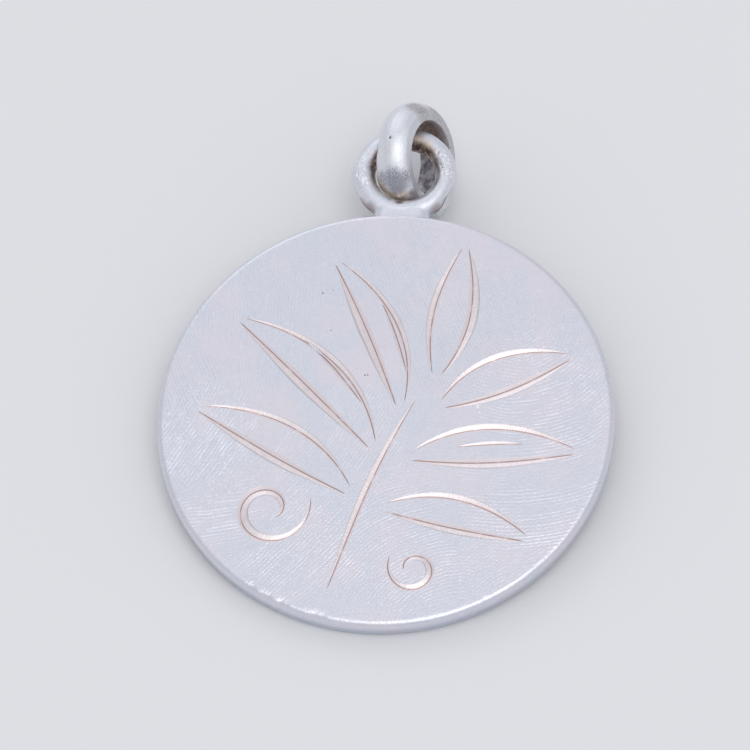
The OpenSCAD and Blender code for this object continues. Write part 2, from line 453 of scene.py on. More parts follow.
# base x, base y, tip x, tip y, bend of left edge, bend of right edge, left width, right width
leaves = [
    (0.24, 0.23, 0.34, 0.95, 20, 24, 0.7, 0.95), (0.28, 0.07, 0.9, 0.36, 38, 10, 0.65, 0.9),
    (0.07, 0.06, -0.3, 0.84, -4, 34, 1, 0.6), (0.14, -0.22, 0.95, -0.16, 34, 6, 0.7, 0.9),
    (-0.05, -0.17, -0.76, 0.5, -2, 36, 1, 0.65), (0.03, -0.5, 0.74, -0.64, 34, 2, 0.65, 0.85),
    (-0.15, -0.42, -0.93, 0.0, 2, 34, 0.95, 0.6)]
# start x, start y, direction, end x, end y, direction, pull, width
stems = [
    (-0.22, -0.96, 74, 0.15, 0.1, 64, 0.4, 0.7), (0.09, 0.24, 106, -0.06, 0.62, 120, 0.33, 0.38),
    (-0.12, 0.06, 126, -0.44, 0.41, 142, 0.33, 0.38), (0.36, -0.16, 10, 0.7, -0.13, -2, 0.33, 0.38)]
# middle x, middle y, outer radius, inner radius, start angle, sweep, width
curls = [(-0.54, -0.53, 0.22, 0.06, 20, -430, 0.9), (0.2, -0.82, 0.14, 0.05, 150, 400, 0.7)]


def unit(degrees):
    return Vector((math.cos(math.radians(degrees)), math.sin(math.radians(degrees))))


def bend_line(a, leave, d, arrive, pull):
    """A cubic curve from a to d that leaves along one direction and arrives along another."""
    reach = pull * (d - a).length
    b, c = a + reach * unit(leave), d - reach * unit(arrive)
    steps = [(t, 1 - t) for t in (i / stroke_steps for i in range(stroke_steps + 1))]
    return [u ** 3 * a + 3 * u * u * t * b + 3 * u * t * t * c + t ** 3 * d for t, u in steps]


def leaf_lines(leaf):
    """The two edges of a leaf. The right one is drawn from the tip to the base."""
    base, tip = Vector(leaf[0:2]), Vector(leaf[2:4])
    along = math.degrees(math.atan2(tip.y - base.y, tip.x - base.x))
    for side, bend, width in ((1, leaf[4], leaf[6]), (-1, leaf[5], leaf[7])):
        off = side * leaf_gap * unit(along + 90)
        ends = (base + off, along + side * bend, tip + tip_gap_share * off)
        line = bend_line(*ends, along - tip_bend_share * side * bend, leaf_pull)
        yield line[::side], width


def curl_line(curl):
    """A spiral that closes in a little faster at its start."""
    x, y, outer, inner, start, sweep, width = curl
    count = math.ceil(abs(sweep) / turn_step)
    line = []
    for t in (i / count for i in range(count + 1)):
        line.append(Vector((x, y)) + (outer + (inner - outer) * t ** curl_power) * unit(start + sweep * t))
    return line[::1 if sweep > 0 else -1], width


strokes = [stroke for leaf in leaves for stroke in leaf_lines(leaf)]
for x0, y0, leave, x1, y1, arrive, pull, width in stems:
    strokes.append((bend_line(Vector((x0, y0)), leave, Vector((x1, y1)), arrive, pull), width))
strokes += [curl_line(curl) for curl in curls]
print("strokes of the graver:", len(strokes))

# %% [markdown]
# ## Cutting the spray
#
# A graver held at a lean leaves a wide shallow wall and a narrow steep one. The cut swells from
# nothing, as the tool goes in, and thins to nothing as it comes out. That is a rule along a path,
# so Geometry Nodes make it: the tool's section is swept along each stroke, its size follows the
# rule, and a boolean takes all the cuts out of the disc. A second one joins the soldered eye.
#
# The tool's section hangs from a level just above the face. The outer part of its wide wall is
# less steep, because rubbing down the finished face rounds that shallow lip a little. Two
# attributes go along with the cuts, for the finish. One is 1 on their walls. The other holds the
# way across the wall, in millimetres from the valley and as a share of its width, and the way
# along the stroke.

# %% Shape the graver
cut_depth = 0.25
wide_share = 0.7
face_gap = 0.008
# Columns: way from the valley to the wide lip, and height left below the lip
wide_wall = [(0.8, 0.1), (0.9, 0.035), (1.0, 0.0)]
wide_reach = wide_share / cut_depth
steep_reach = (1 - wide_share) / cut_depth
section = [(steep_reach, 0, 0), (0, 1, 0)] + [(-wide_reach * way, left, 0) for way, left in wide_wall]
graver = line_piece("graver", [(section, 1.0)], closed=True)
paths = line_piece("strokes", [
    ([(*(ornament_r * point), disc_t + face_gap) for point in line], width) for line, width in strokes])
print("sides of the graver:", len(section))

# %% The tree that cuts
cut_sizes = {
    "Widest cut": 0.6, "Depth share": cut_depth, "Swell": 0.8, "Start above face": 0.005,
    "Wobble": 0.08, "Wobble length": 0.7, "Wobble seed": 4.0, "Wide reach": wide_reach}
tree, given = start_tree("cut_spray", cut_sizes, ("Blank", "Eye", "Graver"))
stroke = given["Path"]


def whole(helper):
    """The geometry of a helper object."""
    return helper.node("GeometryNodeObjectInfo", {}, {"Object": helper}, "Geometry")


def mark(shape, name, domain, value, kind="FLOAT"):
    """An attribute put on a shape."""
    settings = {"domain": domain, "data_type": kind}
    inputs = {"Geometry": shape, "Name": name, "Value": value}
    return shape.node("GeometryNodeStoreNamedAttribute", settings, inputs)


def carried(shape, name):
    """An attribute that a shape already has."""
    return shape.node("GeometryNodeInputNamedAttribute", {"data_type": "FLOAT"}, {"Name": name})


def boolean(operation, first, second):
    """Two solids joined, or the second taken out of the first."""
    made = first.node("GeometryNodeMeshBoolean", {"operation": operation, "solver": "MANIFOLD"})
    inputs = made.socket.node.inputs
    feed(inputs["Mesh 1" if operation == "DIFFERENCE" else "Mesh 2"], first)
    feed(inputs["Mesh 2"], second)
    return made


last = stroke.node("GeometryNodeSplineLength", out="Point Count") - 1
way = stroke.node("GeometryNodeSplineParameter", out="Index") / last
spot = stroke.node("GeometryNodeInputPosition")
share = stroke.node("GeometryNodeInputRadius")
swell = stroke.math("MAXIMUM", stroke.math("SINE", way * math.pi), 0.0) ** given["Swell"]
wander = speckle(spot, given["Wobble length"], 1.0, given["Wobble seed"])
depth = given["Widest cut"] * given["Depth share"] * share * swell
depth = depth * (1 + (wander - 0.5) * 2 * given["Wobble"]) + given["Start above face"]
level = stroke.node("GeometryNodeSetCurveNormal", {"mode": "Z_UP"}, {"Curve": stroke})
level = mark(level, "along_at_point", "POINT", stroke.node("GeometryNodeSplineParameter", out="Length"))
level = mark(level, "width_at_point", "POINT", depth * given["Wide reach"])
across = stroke.node("ShaderNodeSeparateXYZ", {}, {"Vector": spot}, "X") / given["Wide reach"] * -1
tool = mark(whole(given["Graver"]), "wall_at_point", "POINT", across)
cuts = level.node("GeometryNodeCurveToMesh", {}, {
    "Curve": level, "Profile Curve": tool, "Scale": depth, "Fill Caps": True})
wall, width, along = (carried(cuts, name + "_at_point") for name in ("wall", "width", "along"))
wall_place = cuts.node("ShaderNodeCombineXYZ", {}, {"X": wall * width, "Y": wall, "Z": along})
cuts = mark(mark(cuts, "wall_place", "CORNER", wall_place, "FLOAT_VECTOR"), "cut", "CORNER", 1.0)
body = boolean("UNION", whole(given["Blank"]), whole(given["Eye"]))
end_tree(tree, boolean("DIFFERENCE", body, cuts), given["Finish"])

# %% [markdown]
# ## One finished disc
#
# The tree's result is one closed skin. Its shading has to be smooth along the rim, the wire and
# each wall of a cut, and crisp where a wall meets the face or another wall. So an edge is marked
# sharp where a cut begins, where two walls of a cut meet in the valley, and at any hard corner.
# The eye and its neck get a second finish, because nobody rubs satin grain into a wire.

# %% Cut the disc and crease its edges
valley_angle = math.radians(25)
corner_angle = math.radians(32)


def crease(piece):
    """Smooth shading, apart from lips, valleys and hard corners."""
    data = piece.data
    data.shade_smooth()
    form = bmesh.new()
    form.from_mesh(data)
    bmesh.ops.remove_doubles(form, verts=form.verts, dist=1e-5)
    cut = form.loops.layers.float.get("cut")
    for face in form.faces:
        face.tag = cut is not None and face.loops[0][cut] > 0.5
    for edge in form.edges:
        if len(edge.link_faces) == 2:
            one, two = edge.link_faces
            limit = valley_angle if one.tag and two.tag else corner_angle
            edge.smooth = one.tag == two.tag and edge.calc_face_angle(0) < limit
    form.to_mesh(data)
    form.free()


def report(piece):
    """Print how a mesh closes, because a stray edge would show in the kept mesh."""
    form = bmesh.new()
    form.from_mesh(piece.data)
    open_edges = sum(not edge.is_manifold for edge in form.edges)
    sizes = [round(x, 2) for x in piece.dimensions]
    volume = form.calc_volume(signed=True)
    print(piece.name, "mm:", sizes, "faces", len(form.faces), "open edges", open_edges,
          "volume %.1f" % volume)
    form.free()


eye_from = 9.95
satin = bpy.data.materials.new("satin_silver")
eye_silver = bpy.data.materials.new("eye_silver")
disc = run_tree(paths, tree, {
    **cut_sizes, "Blank": blank, "Eye": eye, "Graver": graver, "Finish": satin}, "engraved_disc")
for helper in (blank, eye, graver):
    bpy.data.objects.remove(helper)
crease(disc)
disc.data.materials.clear()
for finish in (satin, eye_silver):
    disc.data.materials.append(finish)
for face in disc.data.polygons:
    face.material_index = int(face.center.y > eye_from)
report(disc)

# %% [markdown]
# ## The jump ring
#
# The ring is a strip with a domed outside, bent round and soldered shut. Its section starts as an
# arc for the crown and small rounds at the corners, of which those on the open side are crisper.
# Then it is worn: its points move towards their neighbours, which takes most off the corners.
# Another small tree sweeps it round a circle and takes a little more off here and there, as wear
# does. A short table adds the dents, the small burr at the foot, where it meets the eye, and the
# places where the ring was bent a little out of round.

# %% Shape the ring's strip
ring_r, ring_w = 1.7, 1.7
crown_t, edge_t = 0.87, 0.38
worn_round, crisp_round = 0.14, 0.04
strip_step = 0.035
worn_rounds = 5
crown_rise = crown_t - edge_t
crown_r = ((ring_w / 2) ** 2 + crown_rise ** 2) / (2 * crown_rise)


def crown_end(corner_round):
    """The angle at which the crown's arc meets a corner of the strip."""
    return math.degrees(math.asin((ring_w / 2 - corner_round) / crown_r))


def even_steps(outline, step):
    """A closed outline with points at most one step apart."""
    points = []
    for a, b in zip(outline, outline[1:] + outline[:1]):
        a, b = Vector(a), Vector(b)
        count = math.ceil((b - a).length / step)
        points += [a.lerp(b, i / count) for i in range(count)]
    return points


def wear_corners(points, rounds):
    """Each round moves a point a quarter of the way towards each of its neighbours."""
    for _ in range(rounds):
        before, after = points[-1:] + points, points[1:] + points[:1]
        points = [(a + 2 * b + c) / 4 for a, b, c in zip(before, points, after)]
    return points


strip = wear_corners(even_steps(
    arc(worn_round, worn_round - ring_w / 2, worn_round, 180, 270, 5)
    + arc(crown_t - crown_r, 0, crown_r, -crown_end(worn_round), crown_end(crisp_round), 24)
    + [(edge_t, ring_w / 2)]
    + arc(crisp_round, ring_w / 2 - crisp_round, crisp_round, 90, 180, 3), strip_step), worn_rounds)
print("points round the strip:", len(strip))

# %% Bend the ring
ring_steps = 320
ring_middle = pick_up @ Vector(mounts["chain_hole"]["pos_m"])
ring_axis = (tilt.to_3x3().inverted() @ Vector(mounts["chain_hole"]["axis"])).normalized()
circle = [(ring_r * math.cos(a), ring_r * math.sin(a), 0) for a in
          (2 * math.pi * i / ring_steps for i in range(ring_steps))]
ring_path = line_piece("ring_path", [(circle, 1.0)], closed=True)
section = [(out, -height, 0) for out, height in strip[::-1]]
ring_tool = line_piece("ring_section", [(section, 1.0)], closed=True)

wear_sizes = {"Wear": 0.014, "Wear length": 0.8, "Dents": 0.003, "Dent length": 0.16, "Wear seed": 2.0}
# Columns: place, reach, move
ring_dents = [
    ((-0.66, 13.14, 2.22), 0.07, -0.06), ((-1.08, 12.82, 1.88), 0.09, -0.06),
    ((-1.1, 12.6, 1.75), 0.07, -0.04), ((-0.88, 13.74, 2.05), 0.07, -0.015),
    ((-0.95, 13.5, 2.05), 0.06, -0.015), ((-1.0, 12.2, 1.45), 0.08, -0.025),
    ((-0.19, 11.0, 0.66), 0.1, 0.05), ((0.02, 11.02, 0.7), 0.07, 0.03),
    ((-0.4, 11.05, 0.6), 0.07, 0.02), ((-1.16, 11.85, 0.8), 0.3, 0.07),
    ((-1.05, 11.5, 0.55), 0.3, 0.06), ((-1.29, 13.0, 1.55), 0.45, -0.09),
    ((1.85, 12.75, -1.85), 0.45, 0.13), ((1.66, 12.1, -1.7), 0.45, 0.19),
    ((1.25, 11.6, -1.7), 0.5, 0.3)]
tree, given = start_tree("bend_ring", wear_sizes, ("Section",))
level = given["Path"].node("GeometryNodeSetCurveNormal", {"mode": "Z_UP"}, {"Curve": given["Path"]})
band = level.node("GeometryNodeCurveToMesh", {}, {
    "Curve": level, "Profile Curve": whole(given["Section"]), "Scale": 1.0})
spot = band.node("GeometryNodeInputPosition")


def uneven(depth, length, seed):
    """Wear inwards by smooth noise."""
    return (speckle(spot, length, 1.0, seed) - 0.75) * 2 * depth


move = uneven(given["Wear"], given["Wear length"], given["Wear seed"])
move = move + uneven(given["Dents"], given["Dent length"], given["Wear seed"] + 7)
outward = spot.node("GeometryNodeInputNormal")
worn = band.node("GeometryNodeSetPosition", {}, {
    "Geometry": band, "Offset": outward.node("ShaderNodeVectorMath", {"operation": "SCALE"}, {
        "Vector": outward, "Scale": move})})
end_tree(tree, mark(worn, "on_ring", "POINT", spot, "FLOAT_VECTOR"), given["Finish"])

worn_silver = bpy.data.materials.new("worn_silver")
ring = run_tree(ring_path, tree, {**wear_sizes, "Section": ring_tool, "Finish": worn_silver}, "worn_ring")
bpy.data.objects.remove(ring_tool)
ring_turn = Vector((0, 0, 1)).rotation_difference(ring_axis).to_matrix().to_4x4()
ring.data.transform(Matrix.Translation(ring_middle) @ ring_turn)
press(ring.data, ring_dents)
crease(ring)
report(ring)

# %% [markdown]
# ## Down onto the surface
#
# Both pieces are still flat and in millimetres. The matrix from the first step lays them down in
# metres, in their meshes, so that each object stays at the origin.

# %% Lay the pieces down
for piece in (disc, ring):
    piece.data.transform(lay_down)
    piece.data.update()
    low = min(v.co.z for v in piece.data.vertices)
    print(piece.name, "lowest point over the floor, mm: %.3f" % (low / MM))

# %% [markdown]
# ## Satin silver
#
# The face was rubbed with fine paper in short arcs, a patch at a time, so its grain changes
# direction from place to place. Each patch is a wave across its own direction, which noise bends
# and breaks up, and it fades out at its edge. All of them feed one Bump node and the colour,
# because such fine scratches are far smaller than the mesh could hold.

# %% Start a finish


def start_finish(material):
    """The material's shader and the place on the flat disc, in millimetres."""
    material.use_nodes = True
    tree = material.node_tree
    shader = tree.nodes["Principled BSDF"]
    coords = Wire(tree, tree.nodes.new("ShaderNodeTexCoord").outputs["Object"])
    flat = coords.node("ShaderNodeMapping", {"vector_type": "POINT"}, {
        "Vector": coords, "Location": pick_up.translation,
        "Rotation": tilt.inverted().to_euler(), "Scale": (1 / MM,) * 3})
    return shader, flat


def fill(shader, **inputs):
    """Values and wires put on the shader."""
    for name, value in inputs.items():
        feed(shader.inputs[name.replace("_", " ")], value)


def patch(flat, middle, reach):
    """1 near a point and 0 away from it."""
    return flat.vector("DISTANCE", flat, middle, out="Value").rise(reach * 1.25, reach * 0.45)


def split(wire):
    """The three numbers of a place or a colour."""
    return [wire.node("ShaderNodeSeparateXYZ", {}, {"Vector": wire}, out) for out in ("X", "Y", "Z")]


def join(wire, x=0.0, y=0.0, z=0.0):
    return wire.node("ShaderNodeCombineXYZ", {}, {"X": x, "Y": y, "Z": z})


def choose(flat, near, table):
    """The settings of the patch that holds a point, and its hold on it, which fades at its edge.
    Later patches lie over earlier ones."""
    settings, hold = None, None
    for middle, reach, strength, row in table:
        away = flat.vector("DISTANCE", near, (*middle, disc_t), out="Value")
        inside = away.math("LESS_THAN", away, reach)
        mine = away.rise(reach, reach * 0.55) * strength
        if hold is None:
            settings, hold = join(flat, *row), mine
        else:
            mix = {"data_type": "VECTOR"}
            settings = inside.node("ShaderNodeMix", mix, {0: inside, 4: settings, 5: row}, 1)
            hold = inside.node("ShaderNodeMix", {"data_type": "FLOAT"}, {0: inside, 2: hold, 3: mine}, 0)
    return split(settings), hold


def straight_lines(flat, turn, spacing, length):
    """The way along straight scratches and the way across them, in their own steps."""
    x, y, _ = split(flat)
    c, s = turn.math("COSINE", turn), turn.math("SINE", turn)
    return (x * c + y * s) / length, (y * c - x * s) / spacing


def round_lines(flat, middle_x, middle_y, spacing, length):
    """The same for scratches along arcs about a point."""
    x, y, _ = split(flat)
    x, y = x - middle_x, y - middle_y
    return x.math("ARCTAN2", y, x) * (6 / length), (x * x + y * y) ** 0.5 / spacing


def scratches(along, across):
    """Fine lines side by side. Slow noise makes them wander, and quicker noise breaks them up."""
    wander = speckle(join(along, along * 0.5, across * 0.06), 1.0, 1.0, 1.0) * 2.5
    wave = (across + wander) * (2 * math.pi)
    broken = speckle(join(along, along, across * 0.4), 1.0, 1.0, 2.0).rise(0.3, 0.62)
    single = speckle(join(along, along * 0.8, across * 1.9), 1.0, 1.0, 3.0) - 0.5
    return wave.math("SINE", wave) * broken * 0.5 + single * 1.1


def tint(first, second, amount):
    """One colour into another by a wire from 0 to 1."""
    settings = {"data_type": "RGBA", "clamp_factor": True}
    values = {0: amount, 6: first, 7: second}
    return amount.node("ShaderNodeMix", settings, values, 2)


bump_depth = 0.006 * MM
white = (1.0, 1.0, 1.0)


def bumped(relief):
    """Fine relief for a shader's Normal."""
    inputs = {"Height": relief, "Strength": 1.0, "Distance": bump_depth}
    return relief.node("ShaderNodeBump", {}, inputs)


shader, flat = start_finish(satin)
print("millimetres reach the finish through a Mapping node of scale", round(1 / MM))

# %% Grain of the face
line_length = 1.3
# Columns: middle of the patch, its reach, strength, and direction in degrees, spacing
straight_patches = [
    ((0.5, 4.6), 6.5, 0.8, (-65, 0.14)), ((-2.2, -1.2), 4.6, 0.75, (62, 0.15)),
    ((-6.4, 4.0), 5.0, 0.8, (88, 0.14)), ((6.0, -6.6), 3.6, 0.35, (40, 0.15)),
    ((-3.9, -5.8), 4.0, 0.75, (50, 0.16)), ((-7.4, -4.4), 2.9, 1.0, (12, 0.16)),
    ((-8.0, -1.4), 3.0, 1.1, (58, 0.17)), ((-8.9, 1.4), 2.0, 1.0, (-66, 0.15))]
# Columns: middle of the patch, its reach, strength, and middle of the arcs, spacing
round_patches = [
    ((-7.6, -0.6), 2.8, 0.8, (-40.0, 14.0, 0.15)), ((3.4, 6.8), 4.2, 0.35, (-1.5, 12.0, 0.15)),
    ((1.2, -6.0), 4.6, 0.6, (3.8, -10.6, 0.16)), ((6.8, -3.2), 4.4, 0.8, (4.8, 7.3, 0.165)),
    ((7.2, 1.4), 4.6, 0.85, (5.5, 5.0, 0.17))]


def ragged(flat, size, amount, seed=0.0):
    """The place moved about by noise, so that what it bounds gets an uneven edge."""
    shift = speckle(flat, size, 2.0, seed, "Color")
    start = flat.vector("SUBTRACT", flat, (amount,) * 3)
    return flat.vector("MULTIPLY_ADD", shift, (2 * amount,) * 3, start)


near = ragged(flat, 1.2, 0.8, 40.0)
rows = [
    (middle, reach, strength, (math.radians(turn), spacing, 0))
    for middle, reach, strength, (turn, spacing) in straight_patches]
(turn, spacing, _), hold = choose(flat, near, rows)
grain = scratches(*straight_lines(flat, turn, spacing, line_length)) * hold
(middle_x, middle_y, spacing), hold = choose(flat, near, round_patches)
grain = grain + scratches(*round_lines(flat, middle_x, middle_y, spacing, line_length)) * hold
grain = grain + (speckle(flat, 0.07, 2.0, 9.0) - 0.5) * 2.4
print("patches of grain:", len(straight_patches) + len(round_patches))

# %% [markdown]
# ## Colour of the face and the cuts
#
# The face is a cool pale silver with slow pinkish clouds, because fire scale shines through the
# pale skin, and its grain shows in the colour too. The cuts went through that skin, so they are
# pinker. Each cut has fine streaks along it and faint chatter across it. Its outer lip gets a
# painted grey shade, its steep wall is painted paler to lift its shade, and a thin brown line is
# painted along the valley.

# %% Colour of the face


def attribute(flat, name, out="Fac"):
    return flat.node("ShaderNodeAttribute", {"attribute_name": name}, out=out)


def blots(flat, table):
    """The strongest of a table's patches at each point."""
    mask = None
    for middle, reach, strength in table:
        one = patch(flat, middle, reach) * strength
        mask = one if mask is None else mask.math("MAXIMUM", mask, one)
    return mask


low_silver, high_silver = (0.71, 0.725, 0.805), (0.92, 0.925, 0.97)
pink_cloud = (0.86, 0.79, 0.84)
# Painted glints: small white flecks, mostly on the left of the face, where crosswise scratches would catch
# the light.
glint_fields = [
    ((-8.1, -1.0, disc_t), 2.9, 1.0), ((-6.6, -3.6, disc_t), 2.6, 0.8), ((-3.4, -5.6, disc_t), 2.8, 0.6),
    ((5.5, -4.0, disc_t), 4.0, 0.3)]
glint_flecks = speckle(flat, 0.085, 1.0, 31.0).rise(0.57, 0.67) * speckle(flat, 0.5, 2.0, 32.0).rise(0.4, 0.6)
glint_flecks = glint_flecks * blots(flat, glint_fields)
clouds = speckle(flat, 2.4, 3.0, 2.0).rise(0.42, 0.68)
sheen = speckle(flat, 1.1, 2.0, 14.0) - 0.5
shade = grain * 0.34 + sheen * 0.2 + 0.28
face_colour = tint(low_silver, high_silver, shade)
face_colour = tint(face_colour, pink_cloud, clouds * 0.6)
face_colour = tint(face_colour, (0.95, 0.97, 1.0), glint_flecks * 0.9)
print("fields of flecks:", len(glint_fields))

# %% Colour of the cuts
cut = attribute(flat, "cut")
from_valley, wall, along = split(attribute(flat, "wall_place", "Vector"))
pink_silver = (0.87, 0.785, 0.79)
bright_pink = (1.0, 0.93, 0.93)
lip_painted_shade = (0.52, 0.51, 0.56)
steep_painted_light = (0.98, 0.9, 0.92)
brown_line = (0.42, 0.26, 0.23)
streaks = speckle(join(cut, from_valley / 0.035, along / 1.4), 1.0, 2.0, 5.0) - 0.5
chatter = speckle(join(cut, from_valley / 0.3, along / 0.07), 1.0, 1.0, 6.0) - 0.5
line_breaks = speckle(flat, 0.6, 2.0, 3.0).rise(0.2, 0.5)
valley = from_valley.rise(0.036, 0.014) * from_valley.rise(-0.034, -0.014) * line_breaks
steep = from_valley.rise(-0.02, -0.06)
lip = wall.rise(0.58, 0.86)
cut_colour = tint(pink_silver, bright_pink, streaks * 2.2 + chatter * 1.6 + 0.4)
# Painted shade: the outer lip of each cut is tinted grey.
cut_colour = tint(cut_colour, lip_painted_shade, lip * 0.85)
# Painted light: the steep wall is tinted paler, to lift the shade it gets from facing away from the lamps.
cut_colour = tint(cut_colour, steep_painted_light, steep)
# A thin brown line is painted along the valley, broken up by noise.
cut_colour = tint(cut_colour, brown_line, valley * 0.75)
print("silver of the cuts:", pink_silver)

# %% Pits and scrapes of the face, with painted glints, and a painted reflection on its lower rim
# Columns: place, reach, strength
pits = [
    ((-3.18, 5.86, 1.0), 0.045, 0.8), ((-2.74, 6.03, 1.0), 0.035, 0.6), ((-2.68, 4.05, 1.0), 0.035, 0.7),
    ((-1.02, 1.91, 1.0), 0.04, 0.85), ((-0.91, 1.92, 1.0), 0.035, 0.8), ((3.4, 2.2, 1.0), 0.03, 0.6)]
# Scrapes: real nicks in the relief, each with a painted white glint in the colour.
scrapes_and_glints = [
    ((4.02, 0.56, 1.0), 0.09, 1.0), ((4.12, 0.3, 1.0), 0.06, 0.8), ((3.34, 5.08, 1.0), 0.09, 0.7),
    ((3.9, 0.72, 1.0), 0.05, 0.8)]
rim_painted_reflection = (0.5, 0.55, 0.64)
pitted, scraped_and_glint = blots(flat, pits), blots(flat, scrapes_and_glints)
colour = tint(tint(face_colour, cut_colour, cut), white, scraped_and_glint * 0.8)
colour = tint(colour, (0.13, 0.11, 0.11), pitted)
x, y, z = split(flat)
# Painted reflection: the lower part of the rim is tinted a darker blue-grey.
low_rim_reflection = z.rise(0.66, 0.42) * (x * x + y * y).rise(0.96 * disc_r ** 2, 0.985 * disc_r ** 2)
colour = tint(colour, rim_painted_reflection, low_rim_reflection * 0.6)
relief = grain * (1 - cut) + (streaks * 1.6 + chatter * 2.4) * cut - scraped_and_glint * 1.2 - pitted * 3
fill(shader, Base_Color=colour, Metallic=1.0, Roughness=cut * 0.05 + 0.4, Normal=bumped(relief))
print("pits:", len(pits), "scrapes:", len(scrapes_and_glints))

# %% [markdown]
# ## Tarnish and painted shade of the eye
#
# Brown sits where no cloth reaches: inside the eye and in the corners by the neck, partly as tarnish
# and partly as painted shade. A painted shadow runs along the wire's lower edge, painted shade
# darkens the notch under the ring, and small gold painted glints lie on the inner edge. The inside
# of the wire is a matter of how far a point lies from the eye's middle, and short tables place each
# blot in the disc's millimetres. Noise breaks the blots up.
# The pecks get a bright tint, because their small walls catch the light.

# %% Finish the eye
shader, flat = start_finish(eye_silver)
dark_tarnish_and_shade = (0.15, 0.1, 0.075)
pale_tarnish_and_shade = (0.42, 0.32, 0.27)
gold_glint_colour = (0.8, 0.66, 0.46)
# Columns: place, reach, strength
inner_tarnish_and_shade = [
    ((0.75, 13.4, 0.6), 0.85, 1.0), ((1.45, 12.6, 0.5), 0.6, 0.8), ((-1.4, 12.8, 0.8), 0.8, 1.0),
    ((-1.3, 11.6, 0.5), 0.7, 0.55), ((0.2, 10.9, 0.5), 1.1, 0.5), ((1.4, 11.6, 0.5), 0.6, 0.5)]
gold_glint_blots = [((0.5, 13.75, 1.0), 0.3, 0.8), ((0.9, 13.5, 0.95), 0.3, 0.8), ((1.25, 13.1, 0.9), 0.3, 0.6)]
neck_tarnish_and_shade = [
    ((-1.4, 10.42, 0.6), 0.34, 0.8), ((-1.75, 10.7, 0.45), 0.36, 0.7), ((-2.1, 11.2, 0.3), 0.4, 0.4),
    ((1.5, 10.5, 0.6), 0.36, 0.7), ((1.85, 10.85, 0.45), 0.36, 0.6), ((-2.25, 11.9, 0.3), 0.4, 0.3)]
wire_edge_painted_shadow = [
    ((2.13, 11.6, 0.33), 0.16, 0.6), ((2.03, 11.36, 0.33), 0.19, 0.8), ((1.94, 11.11, 0.42), 0.2, 0.9),
    ((1.87, 10.9, 0.47), 0.22, 1.0), ((1.76, 10.68, 0.38), 0.24, 1.0), ((1.6, 10.47, 0.34), 0.24, 1.0),
    ((-1.7, 10.56, 0.42), 0.2, 0.8), ((-1.52, 10.4, 0.38), 0.22, 0.9)]
torn = ragged(flat, 0.2, 0.13)
x, y, _ = split(torn)
from_eye = (x * x + (y - eye_y) * (y - eye_y)) ** 0.5
inside_eye = from_eye.rise(eye_r - 0.16, eye_r - 0.4)
grit = speckle(flat, 0.06, 2.0, 12.0)
fine_pecks = blots(flat, [(place, 1.1 * reach, 1.0) for place, reach in worn_fields])
fine_pecks = fine_pecks * speckle(flat, 0.11, 1.0, 8.0).rise(0.52, 0.62)
mottle = speckle(flat, 0.5, 2.0, 14.0) - 0.5
colour = tint(low_silver, high_silver, (grit - 0.5) * 1.5 + mottle * 0.5 + 0.4)
# By the neck and the lower outside of the wire: pale brown that is partly tarnish and partly painted
# shade.
colour = tint(colour, pale_tarnish_and_shade, blots(flat, neck_tarnish_and_shade) * (grit * 0.6 + 0.5))
crumbs = speckle(flat, 0.12, 3.0, 13.0).rise(0.36, 0.5)
# Inside the eye: brown that is partly tarnish and partly painted shade, darker deeper in the hole.
inner_half = from_eye.rise(eye_r - 0.05, eye_r - 0.25)
colour = tint(colour, pale_tarnish_and_shade, inner_half * blots(flat, inner_tarnish_and_shade) * 0.6)
colour = tint(colour, dark_tarnish_and_shade, inside_eye * blots(flat, inner_tarnish_and_shade) * crumbs * 0.9)
# Painted shadow: a dark line along the wire's lower edge.
colour = tint(colour, dark_tarnish_and_shade, blots(flat, wire_edge_painted_shadow) * (grit * 0.6 + 0.5))
# Painted glints: gold flecks on the upper inner edge of the eye.
colour = tint(colour, gold_glint_colour, blots(flat, gold_glint_blots) * grit.rise(0.4, 0.55))
# Painted shade: a dark patch in the notch where the ring rests on the wire.
colour = tint(colour, dark_tarnish_and_shade, patch(torn, (-0.14, 10.68, 0.82), 0.16) * 0.85)
colour = tint(colour, white, fine_pecks * 0.85)
relief = grit * 2.4 - fine_pecks * 2.5
fill(shader, Base_Color=colour, Metallic=1.0, Roughness=0.46, Normal=bumped(relief))
print("blots:", len(inner_tarnish_and_shade) + len(gold_glint_blots) + len(neck_tarnish_and_shade) + len(wire_edge_painted_shadow))

# %% [markdown]
# ## Worn silver of the ring
#
# The ring rubs on a chain, so its crown is bright, with fine lines round the band. Its hole and
# the corner by the eye keep their tarnish. Its sides also get painted shade, painted light and a
# painted dark reflection. The lines follow the band, so they are worked out in the ring's own
# frame, which an attribute of its mesh carries: its third number is the way across the band, from
# the worn edge to the crisp one.

# %% Silver and lines of the ring
shader, flat = start_finish(worn_silver)
ring_x, ring_y, across_band = split(attribute(flat, "on_ring", "Vector"))
from_axis = (ring_x * ring_x + ring_y * ring_y) ** 0.5
around_band = ring_x.math("ARCTAN2", ring_y, ring_x)
line_gap = 0.045
band_place = join(flat, across_band / line_gap, around_band * 1.3, from_axis / 0.2)
lines = speckle(band_place, 1.0, 2.0, 2.0) - 0.5
fine = speckle(flat, 0.05, 2.0, 1.0) - 0.5
silver = tint((0.72, 0.735, 0.79), (0.98, 0.98, 1.0), lines * 1.1 + fine * 1.7 + 0.46)
print("lines round the band every", line_gap, "mm")

